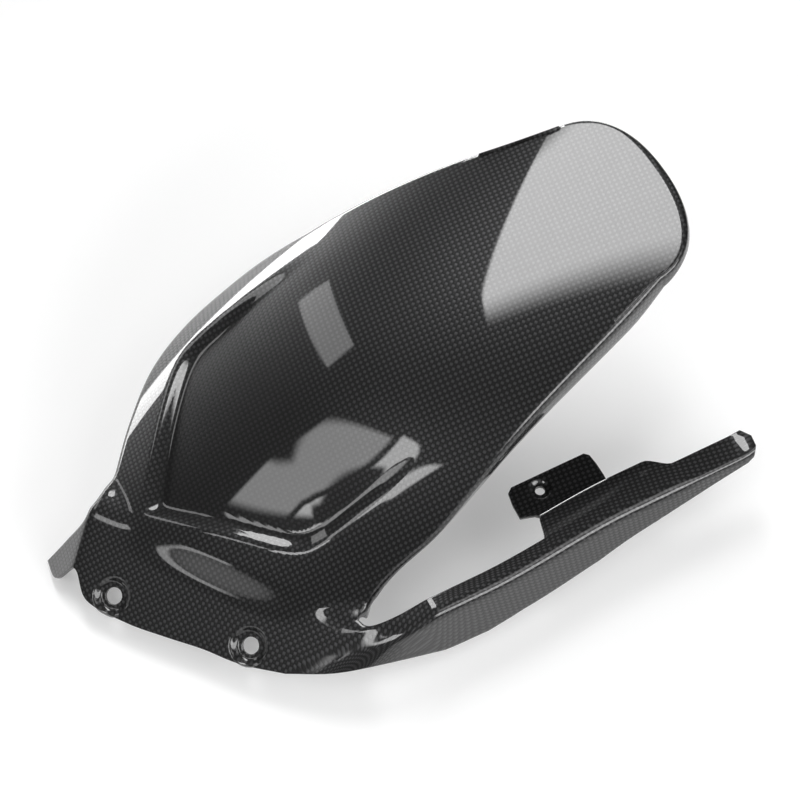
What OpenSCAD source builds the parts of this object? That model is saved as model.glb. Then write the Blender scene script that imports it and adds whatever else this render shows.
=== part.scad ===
// Rear fender of a motorcycle with its chain guard, moulded in one piece.
// +X points forward, +Y to the chain side and +Z up. The origin is midway between the two front
// screw holes, in the plane of their dished seats. Lengths are in millimetres.
// The shape is worked out in a working frame of its own: L runs rearward along the fender, W to the
// chain side and H out of the fender's top. The last step tilts it by the fitted pitch.

/* [Laminate] */
// Thickness of the laminate
wall = 2.0; // [1.4:0.1:3]
// Pitch of the fender over the chain guard, which is level when the part is fitted
fitted_pitch = 17.9; // [15:0.1:21]

/* [Fender] */
// Length from the front corner of the flange to the tail
fender_length = 408; // [380:1:440]
// Half width at the widest place
half_width = 102; // [92:0.5:112]
// Half width where the tail starts to round off
tail_half_width = 55.5; // [46:0.5:60]
// Length of the rounded tail
tail_round = 35; // [24:1:46]
// Radius of the crown along its length
crown_radius = 476; // [380:1:640]
// Radius of the cross arch over the front half
arch_radius = 167; // [150:1:210]
// Radius of the cross arch at the tail
tail_arch_radius = 520; // [300:5:900]
// Depth of the rolled side edge
edge_depth = 10; // [4:0.5:14]
// Depth of the rolled edge round the tail
tail_edge_depth = 3.5; // [2:0.5:8]
// Bend radius of the rolled edge along the sides
edge_bend = 5; // [4:0.5:8]
// Bend radius of the rolled edge round the tail
tail_bend = 2.5; // [2:0.5:4]

/* [Recess] */
// Depth of the recessed panel
recess_depth = 6.5; // [3:0.5:9]
// Width of the panel's sloped border
recess_border = 11; // [8:0.5:16]
// Distance from the crown's front end to the point of the panel
recess_point = 36; // [30:1:44]
// Length of the panel's pointed part
recess_taper = 65; // [55:1:75]
// Half width of the panel
recess_half_width = 78; // [68:1:84]

/* [Flange] */
// Distance between the two front screw holes
hole_pitch = 84.3; // [76:0.1:92]
// Radius of the front screw holes
flange_hole_r = 4.75; // [3:0.05:5.5]
// Radius of the dish round a front screw hole
flange_dish_r = 11; // [9:0.1:12]
// Depth of that dish
flange_dish_depth = 3.2; // [1.5:0.1:4.5]
// Rise of the flange for each unit of length
flange_rise = 0.20; // [0.12:0.01:0.28]
// Fall of the flange for each unit of width
flange_fall = 0.33; // [0.25:0.01:0.4]

/* [Chain guard] */
// Place of the guard's ridge, out from the middle plane of the fender
ridge_offset = 134; // [130:0.5:140]
// Length of the guard from its root to its tip
guard_length = 231; // [215:1:250]
// Depth of the guard's outer face where it is deepest
skirt_depth = 37; // [26:0.5:42]
// Lean of the outer face from upright
skirt_lean = 10; // [4:1:16]
// Width of the screw tab
tab_width = 22.5; // [19:0.5:26]
// Length of the screw tab along the guard
tab_length = 41.5; // [36:0.5:46]
// Step from the guard's top face down to the tab
tab_step = 5; // [3:0.5:7]
// Radius of the tab's screw hole
tab_hole_r = 2.75; // [2:0.05:3.5]
// Radius of the dish round the tab's hole
tab_dish_r = 6.2; // [5:0.1:7]
// Depth of that dish
tab_dish_depth = 1.8; // [1:0.1:2.5]

/* [Hidden] */
// Grid of the fender: rows run across, columns run along
rows = 48;
cols = 28;
// Points across a section of the chain guard
guard_cols = 8;
// Sections of the guard's root
root_rows = 6;

// Small curve functions
function unit(v) = v / norm(v);
function clamp01(x) = min(max(x, 0), 1);
function ease(x) = let (c = clamp01(x)) c * c * (3 - 2 * c);
function lerp(a, b, t) = a + (b - a) * t;
function positive(x, soft) = (x + sqrt(x * x + soft * soft)) / 2;
function spline(pts, t) =
    let (n = len(pts) - 1, x = clamp01(t) * n, i = min(floor(x), n - 1), f = x - i,
         b = pts[i], c = pts[i + 1],
         a = i > 0 ? pts[i - 1] : 2 * b - c,
         d = i < n - 1 ? pts[i + 2] : 2 * c - b)
    0.5 * (2 * b + (c - a) * f + (2 * a - 5 * b + 4 * c - d) * f * f
           + (3 * b - a - 3 * c + d) * f * f * f);

// Crown line: an arc over the front part, a flatter one over the tail, a steeper run at the front
crest = 216;
flat_start = 260;
tail_crown_radius = 3.5 * crown_radius;
front_start = 40;
front_drop = 0.0016;
front_corner = -26;
tail_start = front_corner + fender_length - tail_bend - tail_round;
function crown(l) =
    let (a = min(l, flat_start) - crest, b = max(l - flat_start, 0), f = max(front_start - l, 0))
    -a * a / (2 * crown_radius) - b * (flat_start - crest) / crown_radius
    - b * b / (2 * tail_crown_radius) - front_drop * f * f;

// Cross arch, a little tighter on the chain side
chain_arch_radius = arch_radius - 32;
function bend_of(r, from, l) = lerp(1 / r, 1 / tail_arch_radius, clamp01((l - from) / (382 - from)));
function arch(l, w) =
    let (k = w > 0 ? bend_of(chain_arch_radius, 120, l) : bend_of(arch_radius, 200, l),
         s = min(k * abs(w), 0.93))
    (1 - sqrt(1 - s * s)) / k + (k * abs(w) - s) * 2.5 / k;
function arched(l, w) = crown(l) - arch(l, w);

// Flange: a flat face that meets the fender at a slanted fold
fold_at = [20.3, 14.8, -42];
fold_slant = 0.655;
fold_run = 20;
function flange_h(l, w) = fold_at.z + flange_rise * (l - fold_at.x) - flange_fall * (w - fold_at.y);
function past_fold(l, w) =
    ((l - fold_at.x) - fold_slant * (w - fold_at.y)) / norm([1, fold_slant]);

// Recessed panel, pointed at the front and fading out rearward
recess_shift = -2;
function recess(l, w) =
    let (a = abs(w - recess_shift), s = recess_half_width / recess_taper,
         d = min(((l - recess_point) * s - a) / norm([1, s]), recess_half_width - a))
    recess_depth * ease(d / recess_border) * (1 - ease((l - 125) / 75));

// Front ear: the fender's front corner folds down past this line
ear_at = [-9.3, -5.4];
ear_dir = unit([-0.586, -0.81]);
ear_slope = 0.9;
function ear_drop(l, w) =
    ear_slope * positive([l - ear_at.x, w - ear_at.y] * ear_dir, 2) * ease((40 - l) / 25);

// Height of the top face over the working plane
function height(l, w) =
    let (f = flange_h(l, w), d = past_fold(l, w),
         low = f - 0.02 * pow(max(d - 10, 0), 2),
         top = low + positive(arched(l, w) - low, 3))
    lerp(f, top, ease(d / fold_run)) - recess(l, w) - ear_drop(l, w);
function lift(p) = [p.x, p.y, height(p.x, p.y)];

// Outline of the fender in the working plane, set a little toward the chain side
side_shift = 2.5;
function side_w(g) = lerp(tail_half_width, half_width, g);
function far_w(g) = side_shift - side_w(g);
function near_w(g) = side_w(g) + side_shift * (1 - g);
function tail_l(x) = tail_start - (346 - x) * (tail_start - 168) / 178;
far_edge = [[-26, -28], [-9, -23.5], [8, -20], [27, -26.5], [56, -0.56 * half_width],
            [84, -0.815 * half_width], [112, -0.935 * half_width], [140, -0.97 * half_width], [168, far_w(1)],
            [tail_l(197), far_w(0.9)], [tail_l(229), far_w(0.72)], [tail_l(259), far_w(0.55)],
            [tail_l(293), far_w(0.34)], [tail_l(321), far_w(0.15)], [tail_start, far_w(0)]];
gap_root = [108, 111];
near_edge = [gap_root, [113, 106], [124, 103], [140, 0.995 * half_width], [168, near_w(0.97)],
             [tail_l(197), near_w(0.85)], [tail_l(229), near_w(0.68)], [tail_l(259), near_w(0.52)],
             [tail_l(293), near_w(0.33)], [tail_l(321), near_w(0.16)], [tail_start, near_w(0)]];
front_edge = [[-26, -28], [-25.2, -12], [-11.2, -3.3], [-14.7, 14.8], [-2.1, 37.4], [12.4, 56.1],
              [26.9, 73.7], [40.4, 92.3], [58.9, 110.9]];
tail_power = 2 / 2.25;
function tail_point(b) =
    [tail_start + tail_round * pow(cos(90 * b), tail_power),
     side_shift + sign(b) * tail_half_width * pow(abs(sin(90 * b)), tail_power)];

// Rails of the chain guard: inner edge, ridge and lower edge of the outer face
guard_fall = tan(fitted_pitch);
guard_start = 146;
guard_tip = 106 + guard_length;
notch_l = 216.5;
shoulder_l = 292;
narrow_w = 11.5;
wide_w = 25;
tip_w = 16.3;
toe_in = 6;
function guard_h(l) = -61 - guard_fall * (l - guard_start);
function ridge_w(l) = ridge_offset - toe_in * ease((l - 175) / 90);
function top_w(l) =
    lerp(lerp(narrow_w, wide_w, ease((l - notch_l) / 5)), tip_w, ease((l - shoulder_l + 7) / 14));
function skirt(l) =
    skirt_depth * lookup(l, [[146, 0.84], [165, 0.925], [185, 0.83], [210, 0.78], [236, 0.72],
                             [275, 0.5], [314, 0.265], [345, 0.1]]);
function on_flange(l, w) = [l, w, flange_h(l, w)];
inner_start = [guard_start, ridge_offset - narrow_w, guard_h(guard_start)];
ridge_start = [guard_start, ridge_offset, guard_h(guard_start)];
function lower_edge(l) =
    [l - 8 * (1 - ease((l - guard_start) / 25)), ridge_w(l) + skirt(l) * sin(skirt_lean),
     guard_h(l) - skirt(l) * cos(skirt_lean)];
inner_root = [on_flange(gap_root.x, gap_root.y), on_flange(112, 118), [127, 121.5, -59.5], inner_start];
ridge_root = [on_flange(80, 112), on_flange(103, 125), on_flange(126, 133), ridge_start];
lower_root = [on_flange(58.9, 110.9), on_flange(82, 126.5), [107, 136, -71], lower_edge(guard_start)];

// One section of the guard, from the inner edge over the rounded ridge to the lower edge
ridge_round = 3.5;
function corner(a, r, b, f) = lerp(lerp(a, r, f), lerp(r, b, f), f);
function section(a, r, b) =
    let (p = r + unit(a - r) * ridge_round, q = r + unit(b - r) * ridge_round)
    [a, lerp(a, p, 0.5), p, corner(p, r, q, 0.33), corner(p, r, q, 0.67), q,
     lerp(q, b, 0.33), lerp(q, b, 0.67), b];
function root_section(t) = section(spline(inner_root, t), spline(ridge_root, t), spline(lower_root, t));
function guard_section(l, tip) =
    let (s = section([l, ridge_w(l) - top_w(l), guard_h(l)], [l, ridge_w(l), guard_h(l)], lower_edge(l)))
    [for (q = [0:guard_cols]) s[q] + tip * [tip_reach[q], 0, 0]];
tip_reach = [3.5, 7, 6, 4.5, 3, 1.5, 0, -1.5, -2.5];
tab_from = notch_l + 5;
tab_rows = 6;
before_tab = concat([for (l = [155:9:209]) l], [notch_l - 3, notch_l, notch_l + 2.5]);
stations = concat(before_tab, [for (i = [0:tab_rows]) tab_from + tab_length * i / tab_rows],
                  [for (l = [275, 285]) l], [for (i = [-1:1]) shoulder_l + 3.5 * i], [300, 312, 324],
                  [guard_tip - 4, guard_tip]);
first_tab = root_rows + len(before_tab) + 1;
guard = concat([for (i = [1:root_rows]) root_section(i / root_rows)],
               [for (i = [0:len(stations) - 1])
                guard_section(stations[i], i == len(stations) - 1 ? 1 : 0)]);

// Fender grid between its four edges
root_line = root_section(0);
near_pts = concat([for (i = [0:guard_cols]) [root_line[guard_cols - i].x, root_line[guard_cols - i].y]],
                  [for (i = [1:rows - guard_cols]) spline(near_edge, i / (rows - guard_cols))]);
far_pts = [for (i = [0:rows]) spline(far_edge, i / rows)];
front_pts = [for (j = [0:cols]) spline(front_edge, j / cols)];
tail_pts = [for (j = [0:cols]) tail_point(2 * j / cols - 1)];
function plan(i, j) =
    let (a = i / rows, b = j / cols)
    lerp(far_pts[i], near_pts[i], b) + lerp(front_pts[j], tail_pts[j], a)
    - lerp(lerp(far_pts[0], near_pts[0], b), lerp(far_pts[rows], near_pts[rows], b), a);
grid = [for (i = [0:rows]) [for (j = [0:cols]) lift(plan(i, j))]];

// Normals of a grid of points, from the neighbours of each point
function grid_normal(g, i, j) =
    let (m = len(g) - 1, n = len(g[0]) - 1)
    unit(cross(g[min(i + 1, m)][j] - g[max(i - 1, 0)][j], g[i][min(j + 1, n)] - g[i][max(j - 1, 0)]));
function slope(l, w) =
    let (e = 0.4)
    [height(l - e, w) - height(l + e, w), height(l, w - e) - height(l, w + e), 2 * e];
grid_n = [for (i = [0:rows]) [for (j = [0:cols]) unit(slope(grid[i][j].x, grid[i][j].y))]];

// Rolled edge: it starts at the front ear, goes round the tail and ends at the gap beside the guard
path = concat([for (i = [0:rows]) [i, 0]], [for (j = [1:cols]) [rows, j]],
              [for (i = [rows - 1:-1:guard_cols]) [i, cols]]);
path_end = len(path) - 1;
edge_turn = 80;
function at(g, m) = g[path[m].x][path[m].y];
function roll_size(m) = 0.12 + 0.88 * ease(m / 9) * ease((path_end - m) / 7);
function off_tail(m) = ease((abs(m - rows - cols / 2) - 0.35 * cols) / (cols / 3));
function roll_frame(m) =
    let (n = at(grid_n, m), along = at(grid, min(m + 1, path_end)) - at(grid, max(m - 1, 0)))
    [unit(cross(along, n)), n];
function roll_points(m) =
    let (f = roll_frame(m), s = roll_size(m), p = at(grid, m), r = lerp(tail_bend, edge_bend, off_tail(m)) * s,
         h = lerp(tail_edge_depth, edge_depth, off_tail(m)) * s,
         bent = [for (a = [edge_turn / 2, edge_turn]) p + r * sin(a) * f[0] - r * (1 - cos(a)) * f[1]])
    concat(bent, [bent[1] + h * (cos(edge_turn) * f[0] - sin(edge_turn) * f[1])]);
function roll_normals(m) =
    let (f = roll_frame(m))
    [for (a = [edge_turn / 2, edge_turn, edge_turn]) unit(sin(a) * f[0] + cos(a) * f[1])];

// Screw tab, one step below the guard's top face
tab_w = ridge_offset - toe_in - wide_w - tab_width;
// Places across the tab, each with the reach of its front end and its rear end past the tab's root
tab_plan = [[0.04, 0, 0], [0.14, 2.5, 0], [0.24, 10, 0.2], [0.6, 9.5, 0.3], [0.9, 8, -0.3], [1, 5, -2.5]];
tab_last = len(tab_plan) - 1;
function tab_point(r, c) =
    let (f = r / tab_rows, root = tab_from + tab_length * f,
         l = root + lerp(-tab_plan[c][1], tab_plan[c][2], f),
         w = lerp(ridge_w(root) - wide_w, tab_w, tab_plan[c][0]))
    [l, w, guard_h(l) - tab_step];
tab = [for (r = [0:tab_rows]) [for (c = [0:tab_last]) tab_point(r, c)]];

// Hole places on the flange and the tab, with the direction of each hole
hole_skew = 37.6;
mid_hole = on_flange(24.35, 54.55);
hole_dir = unit([sin(hole_skew), cos(hole_skew),
                 flange_rise * sin(hole_skew) - flange_fall * cos(hole_skew)]);
flange_n = unit([-flange_rise, flange_fall, 1]);
seat_centre = mid_hole - flange_dish_depth * flange_n;
flange_holes = [mid_hole - hole_dir * hole_pitch / 2, mid_hole + hole_dir * hole_pitch / 2];
tab_hole = let (l = tab_from + 7.9) [l, tab_w + 8.4, guard_h(l) - tab_step];
tab_n = unit([guard_fall, 0, 1]);

// From the working frame to the fitted frame
function turned(v) =
    [-v.x * cos(fitted_pitch) + v.z * sin(fitted_pitch), v.y, v.x * sin(fitted_pitch) + v.z * cos(fitted_pitch)];
function placed(p) = turned(p - seat_centre);

// All points of the top face, the matching normals, and the index of each
skin = concat([for (i = [0:rows]) each grid[i]],
              [for (m = [0:path_end]) each roll_points(m)],
              [for (s = guard) each s],
              [for (r = tab) each r]);
guard_all = concat([[for (q = [0:guard_cols]) grid[guard_cols - q][cols]]], guard);
tab_all = [for (r = [0:tab_rows])
           let (g = guard_all[first_tab + r]) concat([for (c = [tab_last:-1:0]) tab[r][c]], [g[0], g[1]])];
skin_n = concat([for (i = [0:rows]) each grid_n[i]],
                [for (m = [0:path_end]) each roll_normals(m)],
                [for (p = [1:len(guard)]) for (q = [0:guard_cols]) grid_normal(guard_all, p, q)],
                [for (r = [0:tab_rows]) for (c = [0:tab_last]) grid_normal(tab_all, r, tab_last - c)]);
grid_count = (rows + 1) * (cols + 1);
roll_count = 3 * (path_end + 1);
guard_count = len(guard) * (guard_cols + 1);
function grid_i(i, j) = i * (cols + 1) + j;
function roll_i(m, k) = k == 0 ? grid_i(path[m].x, path[m].y) : grid_count + 3 * m + k - 1;
function guard_i(p, q) =
    p == 0 ? grid_i(guard_cols - q, cols) : grid_count + roll_count + (p - 1) * (guard_cols + 1) + q;
function tab_i(r, c) =
    c == 0 ? guard_i(first_tab + r, 0) : grid_count + roll_count + guard_count + r * (tab_last + 1) + c - 1;
function pair(a, b, c, d) = [[a, b, c], [a, c, d]];
top_faces = concat(
    [for (i = [0:rows - 1]) for (j = [0:cols - 1])
     each pair(grid_i(i, j), grid_i(i + 1, j), grid_i(i + 1, j + 1), grid_i(i, j + 1))],
    [for (m = [0:path_end - 1]) for (k = [0:2])
     each pair(roll_i(m, k), roll_i(m, k + 1), roll_i(m + 1, k + 1), roll_i(m + 1, k))],
    [for (p = [0:len(guard) - 1]) for (q = [0:guard_cols - 1])
     each pair(guard_i(p, q), guard_i(p + 1, q), guard_i(p + 1, q + 1), guard_i(p, q + 1))],
    [for (r = [0:tab_rows - 1]) for (c = [0:tab_last])
     each pair(tab_i(r, c), tab_i(r, c + 1), tab_i(r + 1, c + 1), tab_i(r + 1, c))]);
last = len(guard);
rim = concat([for (j = [0:cols - 1]) grid_i(0, j)],
             [for (p = [0:last]) guard_i(p, guard_cols)],
             [for (q = [guard_cols - 1:-1:0]) guard_i(last, q)],
             [for (p = [last - 1:-1:first_tab + tab_rows]) guard_i(p, 0)],
             [for (c = [1:tab_last + 1]) tab_i(tab_rows, c)],
             [for (r = [tab_rows - 1:-1:0]) tab_i(r, tab_last + 1)],
             [for (c = [tab_last:-1:0]) tab_i(0, c)],
             [for (p = [first_tab - 1:-1:0]) guard_i(p, 0)],
             [for (k = [1:3]) roll_i(path_end, k)],
             [for (m = [path_end - 1:-1:0]) roll_i(m, 3)],
             [for (k = [2:-1:1]) roll_i(0, k)]);
count = len(skin);
rim_faces = [for (i = [0:len(rim) - 1])
             let (a = rim[i], b = rim[(i + 1) % len(rim)]) each pair(a, b, b + count, a + count)];
points = concat([for (p = skin) placed(p)],
                [for (i = [0:count - 1]) placed(skin[i] - wall * skin_n[i])]);
faces = concat(top_faces, [for (f = top_faces) [f[2] + count, f[1] + count, f[0] + count]], rim_faces);

// The laminate as one skin
module laminate() {
    polyhedron(points = points, faces = faces, convexity = 8);
}

// Moves children from the origin to a place in the working frame, with +Z along the given normal
module stand_at(p, n) {
    d = turned(n);
    translate(placed(p)) rotate([0, atan2(norm([d.x, d.y]), d.z), atan2(d.y, d.x)]) children();
}

// Dished seat round a screw hole
seat_lap = 1.2;
seat_sides = 12;
skin_gap = 0.15;
module seat_cut(dish_r) {
    cylinder(h = 4 * wall, r = dish_r + seat_lap / 2, center = true, $fn = seat_sides);
}
module dish(hole_r, dish_r, depth) {
    floor_r = lerp(hole_r, dish_r, 0.4);
    rotate_extrude($fn = 64)
        polygon([[hole_r, -depth], [floor_r, -depth], [lerp(floor_r, dish_r, 0.4), -depth * 0.72],
                 [lerp(floor_r, dish_r, 0.75), -depth * 0.28], [dish_r, -skin_gap],
                 [dish_r + seat_lap, -skin_gap], [dish_r + seat_lap, skin_gap - wall],
                 [dish_r + 0.3, skin_gap - wall], [lerp(floor_r, dish_r, 0.85), -depth * 0.28 - wall],
                 [floor_r + 0.6, -depth - wall], [hole_r, -depth - wall]]);
}

module rear_fender() {
    color([0.09, 0.09, 0.1]) {
        difference() {
            laminate();
            for (h = flange_holes) stand_at(h, flange_n) seat_cut(flange_dish_r);
            stand_at(tab_hole, tab_n) seat_cut(tab_dish_r);
        }
        for (h = flange_holes) stand_at(h, flange_n) dish(flange_hole_r, flange_dish_r, flange_dish_depth);
        stand_at(tab_hole, tab_n) dish(tab_hole_r, tab_dish_r, tab_dish_depth);
    }
}

rear_fender();
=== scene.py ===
"""Rear fender of a motorcycle with its chain guard, one skin of clear-coated carbon cloth.

The shape classes work in millimetres in the working frame of the part: L runs rearward along the
fender, W to the chain side and H out of its top. FittedFrame turns a place there into metres in
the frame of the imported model, where +X points forward, +Y to the chain side and +Z up.
"""

import logging
import math
from dataclasses import dataclass, field
from enum import Enum
from typing import Callable

import bmesh
import bpy
import numpy as np
from mathutils import Matrix, Vector

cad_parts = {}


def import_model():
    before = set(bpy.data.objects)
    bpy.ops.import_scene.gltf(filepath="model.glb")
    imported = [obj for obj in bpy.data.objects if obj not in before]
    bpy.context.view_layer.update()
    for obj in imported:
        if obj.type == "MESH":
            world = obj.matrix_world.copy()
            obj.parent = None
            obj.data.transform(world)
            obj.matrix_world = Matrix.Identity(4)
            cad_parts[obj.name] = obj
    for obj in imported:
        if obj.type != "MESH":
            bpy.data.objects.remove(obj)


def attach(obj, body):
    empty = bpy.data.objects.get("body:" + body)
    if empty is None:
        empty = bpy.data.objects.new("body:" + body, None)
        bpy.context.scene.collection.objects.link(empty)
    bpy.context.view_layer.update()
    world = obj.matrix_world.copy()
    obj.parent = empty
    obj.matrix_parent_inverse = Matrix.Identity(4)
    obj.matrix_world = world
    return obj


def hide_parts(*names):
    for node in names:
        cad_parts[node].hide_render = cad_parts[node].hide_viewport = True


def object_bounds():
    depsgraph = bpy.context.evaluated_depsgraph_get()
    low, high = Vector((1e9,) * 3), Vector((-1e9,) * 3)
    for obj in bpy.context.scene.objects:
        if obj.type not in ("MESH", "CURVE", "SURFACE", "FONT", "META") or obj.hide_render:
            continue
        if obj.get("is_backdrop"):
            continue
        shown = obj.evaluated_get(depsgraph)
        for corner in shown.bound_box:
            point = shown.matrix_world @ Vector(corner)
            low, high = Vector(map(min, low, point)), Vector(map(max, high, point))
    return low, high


LOG = logging.getLogger("rear_fender")
NODE = "rear_fender"
BODY = "root"
CLOTH_MAP = "cloth"
# UV layer that carries the painted shade of the recessed panel, by its depth.
RECESS_SHADE_MAP = "painted_recess_shade"
MOUNTED_PITCH = 17.9
Array = np.ndarray
Socket = bpy.types.NodeSocket


def ease(x: Array) -> Array:
    """Smooth step from 0 at x = 0 to 1 at x = 1."""
    c = np.clip(x, 0.0, 1.0)
    return c * c * (3.0 - 2.0 * c)


def lerp(a: Array, b: Array, t: Array) -> Array:
    """The value a share t of the way from a to b."""
    return a + (b - a) * t


def positive(x: Array, soft: float) -> Array:
    """The positive part of x, rounded over a length of soft."""
    return (x + np.sqrt(x * x + soft * soft)) / 2.0


def unit(v: Array) -> Array:
    """The vectors in v, each at length one."""
    return v / np.maximum(np.linalg.norm(v, axis=-1, keepdims=True), 1e-12)


def new_object(name: str, data: bpy.types.ID) -> bpy.types.Object:
    """Puts a new object into the scene.

    Args:
        name: The object's name.
        data: Its mesh, lamp or camera.

    Returns:
        The object.
    """
    obj = bpy.data.objects.new(name, data)
    bpy.context.scene.collection.objects.link(obj)
    return obj


def sin_cos(degrees: float) -> tuple[float, float]:
    """Sine and cosine of an angle."""
    return math.sin(math.radians(degrees)), math.cos(math.radians(degrees))


def spline(knots: Array, t: Array) -> Array:
    """A smooth curve through evenly spaced knots.

    Args:
        knots: The points, one in each row.
        t: Shares of the whole curve, from 0 to 1.

    Returns:
        One point for each share.
    """
    k = np.asarray(knots, float)
    k = np.vstack([2 * k[0] - k[1], k, 2 * k[-1] - k[-2]])
    x = np.clip(np.asarray(t, float), 0.0, 1.0) * (len(k) - 3)
    i = np.minimum(x.astype(int), len(k) - 4)
    f = (x - i)[..., None]
    a, b, c, d = k[i], k[i + 1], k[i + 2], k[i + 3]
    return 0.5 * (
        2 * b + (c - a) * f + (2 * a - 5 * b + 4 * c - d) * f**2 + (3 * b - a - 3 * c + d) * f**3
    )


@dataclass(frozen=True)
class FittedFrame:
    """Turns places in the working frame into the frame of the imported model."""

    pitch: float = MOUNTED_PITCH

    def directions(self, v: Array) -> Array:
        """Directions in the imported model's frame."""
        s, c = sin_cos(self.pitch)
        return np.stack([-v[..., 0] * c + v[..., 2] * s, v[..., 1], v[..., 0] * s + v[..., 2] * c], -1)

    def places(self, p: Array, origin: Array) -> Array:
        """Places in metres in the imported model's frame, measured from origin."""
        return self.directions(p - origin) / 1000.0


@dataclass(frozen=True)
class FlangeForm:
    """The flat front flange that carries the two screw seats."""

    corner: tuple[float, float, float] = (20.3, 14.8, -42.0)
    rise: float = 0.20
    fall: float = 0.33
    fold_slant: float = 0.655
    fold_run: float = 20.0
    hole_pitch: float = 84.3
    hole_skew: float = 37.6
    middle: tuple[float, float] = (24.35, 54.55)

    def height(self, l: Array, w: Array) -> Array:
        """Height of the flange's plane."""
        return self.corner[2] + self.rise * (l - self.corner[0]) - self.fall * (w - self.corner[1])

    def past_fold(self, l: Array, w: Array) -> Array:
        """Distance behind the fold where the flange meets the fender."""
        d = (l - self.corner[0]) - self.fold_slant * (w - self.corner[1])
        return d / math.hypot(1.0, self.fold_slant)

    def normal(self) -> Array:
        """The flange's outward normal."""
        return unit(np.array([-self.rise, self.fall, 1.0]))

    def on(self, l: float, w: float) -> Array:
        """A point on the flange's plane."""
        return np.array([l, w, float(self.height(np.array(l), np.array(w)))])

    def holes(self) -> list[Array]:
        """The centres of the two screw holes on the flange's face.

        Returns:
            The two points, the far one first.
        """
        s, c = sin_cos(self.hole_skew)
        along = unit(np.array([s, c, self.rise * s - self.fall * c]))
        middle = self.on(*self.middle)
        return [middle - along * self.hole_pitch / 2, middle + along * self.hole_pitch / 2]


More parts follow.
